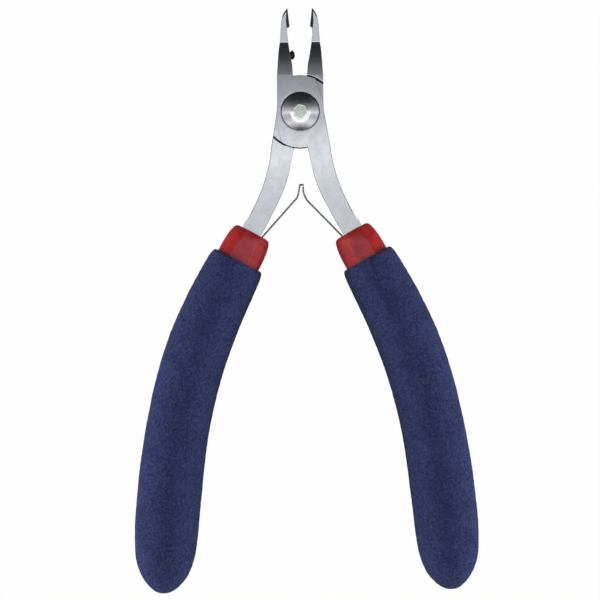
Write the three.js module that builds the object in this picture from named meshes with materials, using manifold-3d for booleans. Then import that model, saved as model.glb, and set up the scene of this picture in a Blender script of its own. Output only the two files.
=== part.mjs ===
// Flush cutter for electronics work. Two lap-jointed steel halves turn on a domed pivot screw, two leaf
// springs push the handles apart, and each handle has a vinyl sleeve inside a foam grip.
// Millimetres. +Y points to the jaw tips, +Z along the pivot towards the screw head. The origin is on the
// pivot axis, in the rear face of the lock nut. The model stands with its jaws open.
import * as THREE from 'three';
import { ConvexGeometry } from 'three/addons/geometries/ConvexGeometry.js';
import { mergeVertices } from 'three/addons/utils/BufferGeometryUtils.js';
import Module from 'manifold-3d';

const wasm = await Module();
wasm.setup();

const radians = THREE.MathUtils.degToRad;

// Lap joint
const BODY_THICKNESS = 6.3;
const LAP_RADIUS = 9.3; // round end of each half's thin lap plate
const SHOULDER_RADIUS = 9.55; // where the opposite half comes back to full thickness
const LAP_SPLIT = 3.15;
const LAP_GAP = 0.1;

// Jaws
const JAW_OPENING = radians(6.8); // each cutting edge's angle off the middle line between the jaws
const JAW_LEAN = Math.tan(radians(0.5)); // that middle line leans to the right of the handles' own
const TIP = { y: 26.5, outerX: -4.14, outerY: 25.18 };
const HEEL_Y = 21.9; // near end of the cutting edge
const FOLD = { y: 17.95, z: 3.5 }; // where the cutting head leans forward from the jaw
const HEAD_SIDE = { topY: 26.8, topFront: 8.1, topRear: 7.85, footY: 17.2, footRear: 1 };
const CUTTING_BEVEL = { lean: 0.92, back: 0.95 };
const END_BEVEL = { lean: 1.1, back: 0 };

// Pivot
const BORE_RADIUS = 2.7;
const SHANK_RADIUS = 2.6;
const RECESS = { mouth: 5.8, floor: 5.2, depth: 0.35 };
const WASHER = { inner: 2.9, outer: 5.05, thickness: 0.35 };
const HEAD = { radius: 4.8, rim: 0.3, top: 8.6, socketAcross: 3.1, socketDepth: 1.7 };
const NUT = { radius: 4.2, thickness: 1.1, bore: 2.75, bottom: 0.4 };
const TURNING_GAP = 0.1;

// Stop screw in the left jaw
const STOP = { y: 14.7, z: 2.7, tip: -1.15, seat: -2.1, outerEnd: -5.2, dome: 1.25, shank: 0.9 };

// Handle line: starts at the sleeve's mouth and ends at the foam's closed end
const MOUTH = new THREE.Vector3(12.7, -30.9, BODY_THICKNESS / 2);
const HANDLE_END = new THREE.Vector3(37.1, -123.5, BODY_THICKNESS / 2);
const MOUTH_HEADING = radians(28.5);
const END_HEADING = radians(3);
const TANG = { width: 5.2, offset: 0.45, thickness: 4.6, length: 78 };

// Sleeve and foam: lengths are measured along the handle line from the mouth
const SLEEVE = { radius: 5.7, flatness: 0.82, length: 84 };
const FOAM = { radius: 8.28, flatness: 0.93, start: 8 };
const ROUND_SEGMENTS = 20;

// Leaf springs
const LEAF = { thickness: 0.42, width: 3.2, buried: 12 };
const RIVET = { first: 4, pitch: 5, head: 0.75, headHeight: 0.35, shank: 0.4, hole: 0.55, length: 2 };

// --- solids ---------------------------------------------------------------------------------------------

// A closed geometry as a solid. Mirroring leaves its faces pointing inwards, so they are turned back.
function solid(geometry) {
  const bare = new THREE.BufferGeometry().setAttribute('position', geometry.getAttribute('position'));
  if (geometry.index) bare.setIndex(geometry.index);
  const merged = mergeVertices(bare, 1e-4);
  const triVerts = new Uint32Array(merged.index.array);
  const vertProperties = merged.attributes.position.array;
  const body = new wasm.Manifold(new wasm.Mesh({ numProp: 3, vertProperties, triVerts }));
  if (body.volume() > 0) return body;
  triVerts.reverse();
  return new wasm.Manifold(new wasm.Mesh({ numProp: 3, vertProperties, triVerts }));
}

function surface(body) {
  const mesh = body.getMesh();
  const geometry = new THREE.BufferGeometry();
  geometry.setAttribute('position', new THREE.BufferAttribute(new Float32Array(mesh.vertProperties), 3));
  geometry.setIndex(new THREE.BufferAttribute(new Uint32Array(mesh.triVerts), 1));
  const faceted = geometry.toNonIndexed();
  faceted.computeVertexNormals();
  return faceted;
}

// The same solid on the other side of the plane x = 0.
const mirrored = (body) => solid(surface(body).scale(-1, 1, 1));

// An outline in the XY plane, standing from low to high along Z.
function slab(outline, low, high) {
  const shape = new THREE.Shape(outline);
  const geometry = new THREE.ExtrudeGeometry(shape, { depth: high - low, bevelEnabled: false });
  return solid(geometry.translate(0, 0, low));
}

// A round drum on the pivot axis.
function drum(radius, low, high, segments = 48) {
  const geometry = new THREE.CylinderGeometry(radius, radius, high - low, segments);
  return solid(geometry.rotateX(Math.PI / 2).translate(0, 0, (low + high) / 2));
}

// A profile of [radius, height] points turned about the Z axis.
function turned(profile, segments = 48) {
  const points = profile.map(([radius, height]) => new THREE.Vector2(radius, height));
  return new THREE.LatheGeometry(points, segments).rotateX(Math.PI / 2);
}

const points2 = (list) => list.map(([x, y]) => new THREE.Vector2(x, y));

// Points of an arc about the pivot from one angle to another, both in radians.
function pivotArc(radius, from, to, steps) {
  return Array.from({ length: steps + 1 }, (_, i) => {
    const angle = from + ((to - from) * i) / steps;
    return new THREE.Vector2(radius * Math.cos(angle), radius * Math.sin(angle));
  });
}

// --- handle line ----------------------------------------------------------------------------------------

const heading = (angle) => new THREE.Vector3(Math.sin(angle), -Math.cos(angle), 0);
const handleLine = new THREE.CubicBezierCurve3(
  MOUTH,
  MOUTH.clone().addScaledVector(heading(MOUTH_HEADING), 32),
  HANDLE_END.clone().addScaledVector(heading(END_HEADING), -54),
  HANDLE_END,
);
const HANDLE_LENGTH = handleLine.getLength();

// A point of the right handle: a distance along it, then outwards from its line, then up.
function onHandle(along, outwards, up = 0) {
  const u = THREE.MathUtils.clamp(along / HANDLE_LENGTH, 0, 1);
  const centre = handleLine.getPointAt(u);
  const tangent = handleLine.getTangentAt(u);
  const beyond = along - u * HANDLE_LENGTH;
  return new THREE.Vector3(
    centre.x + tangent.x * beyond - tangent.y * outwards,
    centre.y + tangent.y * beyond + tangent.x * outwards,
    centre.z + up,
  );
}

const flat = (point) => new THREE.Vector2(point.x, point.y);

// Bends a straight geometry onto the right handle: its Y runs along the handle, X outwards, Z up.
function bentOnHandle(geometry) {
  const position = geometry.getAttribute('position');
  for (let i = 0; i < position.count; i += 1) {
    const bent = onHandle(position.getY(i), position.getX(i), position.getZ(i));
    position.setXYZ(i, bent.x, bent.y, bent.z);
  }
  return solid(geometry);
}

// A tube or plug round the handle line, from [radius, distance along] points.
function roundOnHandle(profile, flatness) {
  const points = profile.map(([radius, along]) => new THREE.Vector2(radius, along));
  return bentOnHandle(new THREE.LatheGeometry(points, ROUND_SEGMENTS).scale(1, 1, flatness));
}

// A rectangular bar on the handle line.
function barOnHandle(inner, outer, thickness, from, to) {
  const steps = Math.ceil((to - from) / 5);
  const box = new THREE.BoxGeometry(outer - inner, to - from, thickness, 1, steps, 1);
  return bentOnHandle(box.translate((inner + outer) / 2, (from + to) / 2, 0));
}

// Evenly spaced stations with one radius.
function straightRun(radius, from, to, pitch) {
  const steps = Math.ceil((to - from) / pitch);
  return Array.from({ length: steps + 1 }, (_, i) => [radius, from + ((to - from) * i) / steps]);
}

// --- steel halves ---------------------------------------------------------------------------------------

const edgeX = (y) => -y * Math.tan(JAW_OPENING);

// The front half seen from the front: its jaw is on the left and its handle on the right. lean shifts the jaw
// sideways for each millimetre up.
function halfOutline(lean) {
  const jaw = points2([
    [-5.98, 9.2], [-5.86, 10.4], [-5.72, 12.6], [-5.6, 14.4], [-5.42, 16.4], [-5.17, 17.9], [-4.95, 21],
    [-4.7, 23.3], [-4.44, 24.4], [TIP.outerX, TIP.outerY], [edgeX(TIP.y), TIP.y],
    [edgeX(HEEL_Y), HEEL_Y], [-3.25, 21.45], [-3.2, 20], [-3.02, 18.2], [-2.76, 16.5], [-2.36, 13.9],
    [-1.97, 12], [-1.88, 10.2],
  ]);
  jaw.forEach((point) => { point.x += lean * point.y; });
  const topOfLap = pivotArc(LAP_RADIUS, Math.acos(-1.8 / LAP_RADIUS), Math.acos(4.06 / LAP_RADIUS), 10);
  const rightEdge = points2([[4.5, 7.0], [5.1, 5.2], [5.7, 3.6], [5.96, 1.5], [6.1, 0], [6.6, -3.1]]);
  const armOuter = new THREE.SplineCurve([
    ...points2([[7.1, -6.2], [7.6, -9.3], [8.0, -12.2], [8.75, -15.4], [9.8, -18.7], [11.1, -21.9],
      [13.1, -25.9]]),
    flat(onHandle(0, TANG.offset + TANG.width / 2)),
  ]).getPoints(18);
  const armInner = new THREE.SplineCurve([
    flat(onHandle(0, TANG.offset - TANG.width / 2)),
    ...points2([[9.0, -28.8], [7.5, -25.9], [5.45, -21.9], [4.1, -18.7], [3.1, -15.4], [2.5, -12.2],
      [1.8, -9.3]]),
  ]).getPoints(18);
  const bottomOfLap = pivotArc(LAP_RADIUS, -Math.acos(1.8 / LAP_RADIUS), -Math.acos(-4.95 / LAP_RADIUS), 10);
  const leftEdge = points2([[-5.27, -6.25], [-5.5, -5.2], [-5.75, -3.9], [-5.87, -2.2], [-5.98, -0.5]]);
  return [...jaw, ...topOfLap, ...rightEdge, ...armOuter, ...armInner, ...bottomOfLap, ...leftEdge];
}

// Side view, as [y, z]: the front face from the tip to the fold, down the jaw's curve and along the arm, then
// the rear face back up.
function sideOutline() {
  const jawFront = new THREE.SplineCurve(points2([
    [FOLD.y, FOLD.z], [16.5, 4.22], [15, 4.88], [13.5, 5.43], [12, 5.86], [10.5, 6.16], [9.3, 6.3],
  ])).getPoints(12);
  const front = points2([[HEAD_SIDE.topY, HEAD_SIDE.topFront]]);
  const arm = points2([[-12, 6.3], [-31.5, 5.5], [-31.5, 0.8], [-12, 0]]);
  const rear = points2([[9.2, 0], [12.4, 0.1], [14.7, 0.3], [HEAD_SIDE.footY, HEAD_SIDE.footRear],
    [HEAD_SIDE.topY, HEAD_SIDE.topRear]]);
  return [...front, ...jawFront, ...arm, ...rear];
}

// A point at the height of the cutting head's rear face.
function onHeadRear(x, y) {
  const rise = (HEAD_SIDE.topRear - HEAD_SIDE.footRear) / (HEAD_SIDE.topY - HEAD_SIDE.footY);
  return new THREE.Vector3(x, y, HEAD_SIDE.footRear + (y - HEAD_SIDE.footY) * rise);
}

// The metal to cut away above an edge of the rear face. For each millimetre up, the bevel goes lean into the
// metal and its near end goes back towards the pivot. metal is a point inside the head.
function bevelWedge(from, to, metal, { lean, back }) {
  const along = to.clone().sub(from).setZ(0).normalize();
  const into = metal.clone().sub(from).setZ(0);
  into.addScaledVector(along, -into.dot(along)).normalize();
  const height = 3;
  const away = into.clone().multiplyScalar(-height);
  const top = into.clone().multiplyScalar(lean * height).setZ(height);
  const nearTop = top.clone().add(new THREE.Vector3(0, -back * height, 0));
  const corners = [
    from, from.clone().add(away), from.clone().add(nearTop), from.clone().add(nearTop).add(away),
    to, to.clone().add(away), to.clone().add(top), to.clone().add(top).add(away),
  ];
  return solid(new ConvexGeometry(corners));
}

// One half with its jaw on the left and its handle on the right, full thickness all through.
function halfBlank(lean) {
  const outline = slab(halfOutline(lean), -1, 10);
  const side = new THREE.ExtrudeGeometry(new THREE.Shape(sideOutline()), { depth: 40, bevelEnabled: false });
  // The side view's own axes become Y and Z, and its depth runs along X.
  side.applyMatrix4(new THREE.Matrix4().set(0, 0, 1, -10, 1, 0, 0, 0, 0, 1, 0, 0, 0, 0, 0, 1));
  const leaned = (x, y) => onHeadRear(x + lean * y, y);
  const metal = leaned(-4.2, 23.5);
  const pastTip = TIP.y + 1;
  const cuttingBevel = bevelWedge(leaned(edgeX(HEEL_Y), HEEL_Y), leaned(edgeX(pastTip), pastTip), metal,
    CUTTING_BEVEL);
  const tip = leaned(edgeX(TIP.y), TIP.y);
  const outer = leaned(TIP.outerX, TIP.outerY);
  const beyond = tip.clone().sub(outer);
  const endBevel = bevelWedge(outer.clone().sub(beyond), tip.clone().add(beyond), metal, END_BEVEL);
  return outline.intersect(solid(side)).subtract(cuttingBevel).subtract(endBevel);
}

function tang() {
  const half = TANG.width / 2;
  return barOnHandle(TANG.offset - half, TANG.offset + half, TANG.thickness, -2, TANG.length);
}

const rivetPlaces = [0, 1].map((i) => RIVET.first + i * RIVET.pitch);
const LEAF_FACE = TANG.offset - TANG.width / 2 - 0.1; // inner side of the tang, where the leaf lies

// Puts a geometry whose axis is +Z onto the tang's inner side, so that +Z points out of the metal.
function onTangSide(geometry, along, outwards) {
  const tangent = handleLine.getTangentAt(along / HANDLE_LENGTH);
  const away = new THREE.Vector3(tangent.y, -tangent.x, 0);
  const up = new THREE.Vector3(0, 0, 1);
  const across = up.clone().cross(away);
  const place = new THREE.Matrix4().makeBasis(across, up, away);
  return solid(geometry.applyMatrix4(place.setPosition(onHandle(along, outwards))));
}

function rivetHoles() {
  return rivetPlaces.map((along) => {
    const hole = turned([[0, -RIVET.length - 0.4], [RIVET.hole, -RIVET.length - 0.4],
      [RIVET.hole, 1], [0, 1]], 16);
    return onTangSide(hole, along, LEAF_FACE);
  });
}

function rightHandled(blank) {
  return rivetHoles().reduce((body, hole) => body.subtract(hole), blank.add(tang()));
}

function frontHalf(blank) {
  const rearLap = drum(SHOULDER_RADIUS, -2, LAP_SPLIT + LAP_GAP / 2, 96);
  const top = BODY_THICKNESS;
  const recess = solid(turned([
    [0, top - RECESS.depth], [RECESS.floor, top - RECESS.depth],
    [RECESS.mouth, top], [RECESS.mouth + 1, top + 1], [0, top + 1],
  ]));
  const stopHole = new THREE.CylinderGeometry(STOP.shank + 0.12, STOP.shank + 0.12, 10, 24);
  stopHole.rotateZ(Math.PI / 2).translate(-5, STOP.y, STOP.z);
  return rightHandled(blank).subtract(rearLap).subtract(recess).subtract(solid(stopHole))
    .subtract(drum(BORE_RADIUS, -1, 8));
}

function rearHalf(blank) {
  const frontLap = drum(SHOULDER_RADIUS, LAP_SPLIT - LAP_GAP / 2, 9, 96);
  const nutSeat = drum(NUT.radius + TURNING_GAP, -1, NUT.thickness + TURNING_GAP);
  return mirrored(rightHandled(blank)).subtract(frontLap).subtract(nutSeat)
    .subtract(drum(BORE_RADIUS, -1, 8));
}

// --- pivot ----------------------------------------------------------------------------------------------

const WASHER_BASE = BODY_THICKNESS - RECESS.depth + TURNING_GAP;
const HEAD_BASE = WASHER_BASE + WASHER.thickness + TURNING_GAP;

function pivotScrew() {
  const shoulder = HEAD_BASE + HEAD.rim;
  const rise = HEAD.top - shoulder;
  const domeRadius = (HEAD.radius ** 2 + rise ** 2) / (2 * rise);
  const domeSpan = Math.asin(HEAD.radius / domeRadius);
  const dome = Array.from({ length: 9 }, (_, i) => {
    const angle = domeSpan * (1 - i / 8);
    return [domeRadius * Math.sin(angle), HEAD.top - domeRadius * (1 - Math.cos(angle))];
  });
  const end = NUT.bottom + TURNING_GAP;
  const body = solid(turned([
    [0, end], [SHANK_RADIUS - 0.2, end], [SHANK_RADIUS, end + 0.2],
    [SHANK_RADIUS, HEAD_BASE], [HEAD.radius, HEAD_BASE], ...dome,
  ]));
  const cornerRadius = HEAD.socketAcross / Math.sqrt(3);
  const hexagon = pivotArc(cornerRadius, 0, (5 * Math.PI) / 3, 5);
  const turn = new THREE.Vector2();
  hexagon.forEach((corner) => corner.rotateAround(turn, radians(-78)));
  return body.subtract(slab(hexagon, HEAD.top - HEAD.socketDepth, HEAD.top + 1));
}

function pivotWasher() {
  const high = WASHER_BASE + WASHER.thickness;
  return solid(turned([
    [WASHER.inner, WASHER_BASE], [WASHER.outer, WASHER_BASE],
    [WASHER.outer, high - 0.12], [WASHER.outer - 0.12, high], [WASHER.inner, high],
    [WASHER.inner, WASHER_BASE],
  ]));
}

function pivotLockNut() {
  const disc = solid(turned([
    [0, 0], [NUT.radius - 0.2, 0], [NUT.radius, 0.2], [NUT.radius, NUT.thickness], [0, NUT.thickness],
  ]));
  const spannerHole = (side) => {
    const hole = new THREE.CylinderGeometry(0.45, 0.45, 1.1, 16);
    return solid(hole.rotateX(Math.PI / 2).translate(side * 3.4, 0, 0));
  };
  return disc.subtract(drum(NUT.bore, NUT.bottom, NUT.thickness + 1)).subtract(spannerHole(1))
    .subtract(spannerHole(-1));
}

// --- stop screw -----------------------------------------------------------------------------------------

function stopScrew() {
  const length = STOP.tip - STOP.outerEnd;
  const crown = STOP.tip - STOP.seat;
  const dome = Array.from({ length: 5 }, (_, i) => {
    const angle = (Math.PI / 2) * (i / 4);
    return [STOP.dome * Math.cos(angle), length - crown * (1 - Math.sin(angle))];
  });
  const body = solid(turned([[0, 0], [STOP.shank, 0], [STOP.shank, length - crown], ...dome], 24));
  const key = new THREE.CylinderGeometry(0.5, 0.5, 2, 6).rotateX(Math.PI / 2);
  const cut = surface(body.subtract(solid(key)));
  return solid(cut.rotateY(Math.PI / 2).translate(STOP.outerEnd, STOP.y, STOP.z));
}

// --- leaf springs ---------------------------------------------------------------------------------------

// A strip of even thickness on a line of points, as a closed outline.
function ribbon(line, thickness) {
  const sides = [[], []];
  line.forEach((point, i) => {
    const before = line[Math.max(i - 1, 0)];
    const after = line[Math.min(i + 1, line.length - 1)];
    const incoming = point.clone().sub(before).normalize();
    const outgoing = after.clone().sub(point).normalize();
    const tangent = incoming.add(outgoing).normalize();
    const normal = new THREE.Vector2(-tangent.y, tangent.x);
    const chord = i === 0 || i === line.length - 1 ? 1 : tangent.dot(after.clone().sub(point).normalize());
    sides[0].push(point.clone().addScaledVector(normal, thickness / 2 / chord));
    sides[1].push(point.clone().addScaledVector(normal, -thickness / 2 / chord));
  });
  return [...sides[0], ...sides[1].reverse()];
}

// The part that the two leaves share, on the right side: along the tang, out of the mouth and up to the bend.
function leafLine(bend) {
  const depth = LEAF_FACE - LEAF.thickness / 2;
  const buried = [1, 0.75, 0.5, 0.25, 0.06].map((part) => flat(onHandle(LEAF.buried * part, depth)));
  return [...buried, ...points2(bend)];
}

function leafSpring(line) {
  const middle = BODY_THICKNESS / 2;
  const strip = slab(ribbon(line, LEAF.thickness), middle - LEAF.width / 2, middle + LEAF.width / 2);
  return rivetHoles().reduce((body, hole) => body.subtract(hole), strip);
}

// The right leaf's tip stops short of the left leaf's, which hooks over it.
function rightLeaf() {
  return leafSpring(leafLine([[1.35, -22.7], [0.8, -21.6], [0.45, -20.4], [0.42, -19.25]]));
}

function leftLeaf() {
  const hooked = leafLine([[1.2, -22.1], [0.75, -20.9], [0.5, -19.2], [0.42, -18.75], [-0.62, -18.75]]);
  return mirrored(leafSpring(hooked));
}

function rivet(along) {
  const head = Array.from({ length: 4 }, (_, i) => {
    const angle = (Math.PI / 2) * (i / 3);
    return [RIVET.head * Math.cos(angle), RIVET.headHeight * Math.sin(angle)];
  });
  const seat = LEAF.thickness + 0.1;
  const profile = [[0, -RIVET.length], [RIVET.shank, -RIVET.length], [RIVET.shank, seat],
    ...head.map(([radius, height]) => [radius, seat + height])];
  return onTangSide(turned(profile, 16), along, LEAF_FACE);
}

// --- sleeve and foam ------------------------------------------------------------------------------------

// The sleeve's outside as [radius, distance] points: a rounded rim, a slow swell, an even tube, a round end.
function sleeveProfile(grow) {
  const r = SLEEVE.radius;
  const rim = [[4.1, 0], [4.6, 0.25], [5.0, 0.9], [5.3, 1.9], [5.55, 3.4], [5.7, 5.5]];
  const run = straightRun(r, 8, SLEEVE.length - 4, 6);
  const end = [[r * 0.87, SLEEVE.length - 2], [r * 0.5, SLEEVE.length - 0.5]];
  const tube = [...rim, ...run, ...end].map(([radius, along]) => [radius + grow, along]);
  return [[0, 0], ...tube, [0, SLEEVE.length + grow]];
}

function sleeve() {
  const inner = LEAF_FACE - LEAF.thickness - RIVET.headHeight - 0.35;
  const outer = TANG.offset + TANG.width / 2 + 0.15;
  const leafRoom = barOnHandle(inner, 0, LEAF.width + 0.6, -1, LEAF.buried + 1);
  const tangRoom = barOnHandle(TANG.offset - TANG.width / 2 - 0.15, outer, TANG.thickness + 0.3,
    -2, TANG.length + 0.5);
  return roundOnHandle(sleeveProfile(0), SLEEVE.flatness).subtract(tangRoom).subtract(leafRoom);
}

// The foam's outside as [radius, distance] points: a rounded lip, a slow swell and a pointed round end.
function foamProfile() {
  const r = FOAM.radius;
  const lip = [[6.2, 0], [6.85, 0.25], [7.15, 0.8], [7.35, 2.2], [7.5, 4.5], [7.68, 8], [7.95, 15]];
  const swell = [...straightRun(8.12, 26, 50, 6), [r - 0.05, 62]];
  const start = [[0, 0], ...lip, ...swell].map(([radius, along]) => [radius, FOAM.start + along]);
  const end = [[8.24, 18], [8.08, 13.5], [7.78, 10.5], [7.36, 8.3], [6.78, 6.4], [6.02, 4.8], [5.1, 3.4],
    [4.08, 2.2], [2.95, 1.2], [1.85, 0.5], [1, 0.15], [0, 0]];
  return [...start, ...end.map(([radius, left]) => [radius, HANDLE_LENGTH - left])];
}

function foamGrip() {
  const gap = 0.15;
  const inside = roundOnHandle(sleeveProfile(gap), SLEEVE.flatness);
  return roundOnHandle(foamProfile(), FOAM.flatness).subtract(inside);
}

// --- assembly -------------------------------------------------------------------------------------------

const materials = {
  steel: new THREE.MeshStandardMaterial({ color: 0xbdc2ca, roughness: 0.38, metalness: 1 }),
  screw: new THREE.MeshStandardMaterial({ color: 0xb9bcbf, roughness: 0.18, metalness: 1 }),
  black: new THREE.MeshStandardMaterial({ color: 0x151516, roughness: 0.35, metalness: 0.6 }),
  spring: new THREE.MeshStandardMaterial({ color: 0x8c9092, roughness: 0.3, metalness: 1 }),
  vinyl: new THREE.MeshStandardMaterial({ color: 0x9c2226, roughness: 0.28, metalness: 0 }),
  foam: new THREE.MeshStandardMaterial({ color: 0x2d3457, roughness: 0.95, metalness: 0 }),
};

function addPiece(group, name, body, material) {
  const mesh = new THREE.Mesh(surface(body), material);
  mesh.name = name;
  group.add(mesh);
}

function buildCutter() {
  const cutter = new THREE.Group();
  addPiece(cutter, 'front_half', frontHalf(halfBlank(JAW_LEAN)), materials.steel);
  addPiece(cutter, 'rear_half', rearHalf(halfBlank(-JAW_LEAN)), materials.steel);
  addPiece(cutter, 'pivot_screw', pivotScrew(), materials.screw);
  addPiece(cutter, 'pivot_washer', pivotWasher(), materials.screw);
  addPiece(cutter, 'pivot_lock_nut', pivotLockNut(), materials.screw);
  addPiece(cutter, 'stop_screw', stopScrew(), materials.black);

  const sides = [
    { side: 'right', place: (body) => body, leaf: rightLeaf() },
    { side: 'left', place: mirrored, leaf: leftLeaf() },
  ];
  for (const { side, place, leaf } of sides) {
    addPiece(cutter, `${side}_leaf_spring`, leaf, materials.spring);
    rivetPlaces.forEach((along, i) => {
      addPiece(cutter, `${side}_spring_rivet_${i + 1}`, place(rivet(along)), materials.spring);
    });
    addPiece(cutter, `${side}_sleeve`, place(sleeve()), materials.vinyl);
    addPiece(cutter, `${side}_foam_grip`, place(foamGrip()), materials.foam);
  }
  return cutter;
}

export default buildCutter();
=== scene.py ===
"""Looks of a flush cutter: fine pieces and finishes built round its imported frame.

Metres. +Z points out of the pivot screw's head, +Y towards the jaw tips. The origin is on the pivot axis, in
the rear face of the lock nut. The jaws stand open.
"""
import logging
import math
from dataclasses import dataclass, field
from enum import Enum
from typing import Callable, Sequence

import bpy
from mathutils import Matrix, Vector


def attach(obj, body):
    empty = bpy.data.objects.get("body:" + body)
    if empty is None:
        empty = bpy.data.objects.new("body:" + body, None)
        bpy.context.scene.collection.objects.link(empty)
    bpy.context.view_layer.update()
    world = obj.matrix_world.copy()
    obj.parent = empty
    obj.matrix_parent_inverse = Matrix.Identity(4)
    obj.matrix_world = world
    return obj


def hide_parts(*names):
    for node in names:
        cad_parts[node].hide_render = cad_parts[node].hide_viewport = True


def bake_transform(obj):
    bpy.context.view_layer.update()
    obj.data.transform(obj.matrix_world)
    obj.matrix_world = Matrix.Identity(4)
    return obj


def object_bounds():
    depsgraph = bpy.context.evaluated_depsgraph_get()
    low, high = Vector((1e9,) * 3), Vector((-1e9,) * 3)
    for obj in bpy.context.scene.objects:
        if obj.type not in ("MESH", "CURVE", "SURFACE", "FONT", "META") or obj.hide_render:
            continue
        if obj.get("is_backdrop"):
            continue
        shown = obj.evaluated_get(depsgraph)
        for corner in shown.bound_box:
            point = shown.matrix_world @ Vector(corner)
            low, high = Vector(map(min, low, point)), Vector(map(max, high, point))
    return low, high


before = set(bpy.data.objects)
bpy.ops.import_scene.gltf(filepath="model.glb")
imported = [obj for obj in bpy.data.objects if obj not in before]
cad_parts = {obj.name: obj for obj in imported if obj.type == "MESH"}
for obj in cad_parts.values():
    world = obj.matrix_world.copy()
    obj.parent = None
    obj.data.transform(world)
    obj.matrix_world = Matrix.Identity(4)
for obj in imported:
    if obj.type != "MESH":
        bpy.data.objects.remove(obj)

MM = 0.001
log = logging.getLogger("flush_cutter")
Pair = tuple[float, float]
Points = tuple[Pair, ...]
Colour = Triple = tuple[float, float, float]
Band = tuple[float, float, float, float]
Material, Piece = bpy.types.Material, bpy.types.Object
Node, Socket = bpy.types.ShaderNode, bpy.types.NodeSocket


# --- the workbench ---


class Section(Enum):
    """Cross-sections that a stack of rings starts from."""

    ROUND = "round"
    SOFT_SQUARE = "soft square"


class Closing(Enum):
    """How a stack of rings is closed."""

    FLAT_ENDS = "flat ends"
    POLES = "poles"
    JOINED = "last ring joined to the first"


@dataclass(frozen=True)
class Ring:
    """One ring of a stack: half width along X, half depth along Y, height along Z, and a shift along X."""

    width: float
    depth: float
    height: float
    shift: float = 0.0


def turned(profile: Sequence[Pair]) -> list[Ring]:
    """Round rings from radii and heights."""
    return [Ring(radius, radius, height) for radius, height in profile]


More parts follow.
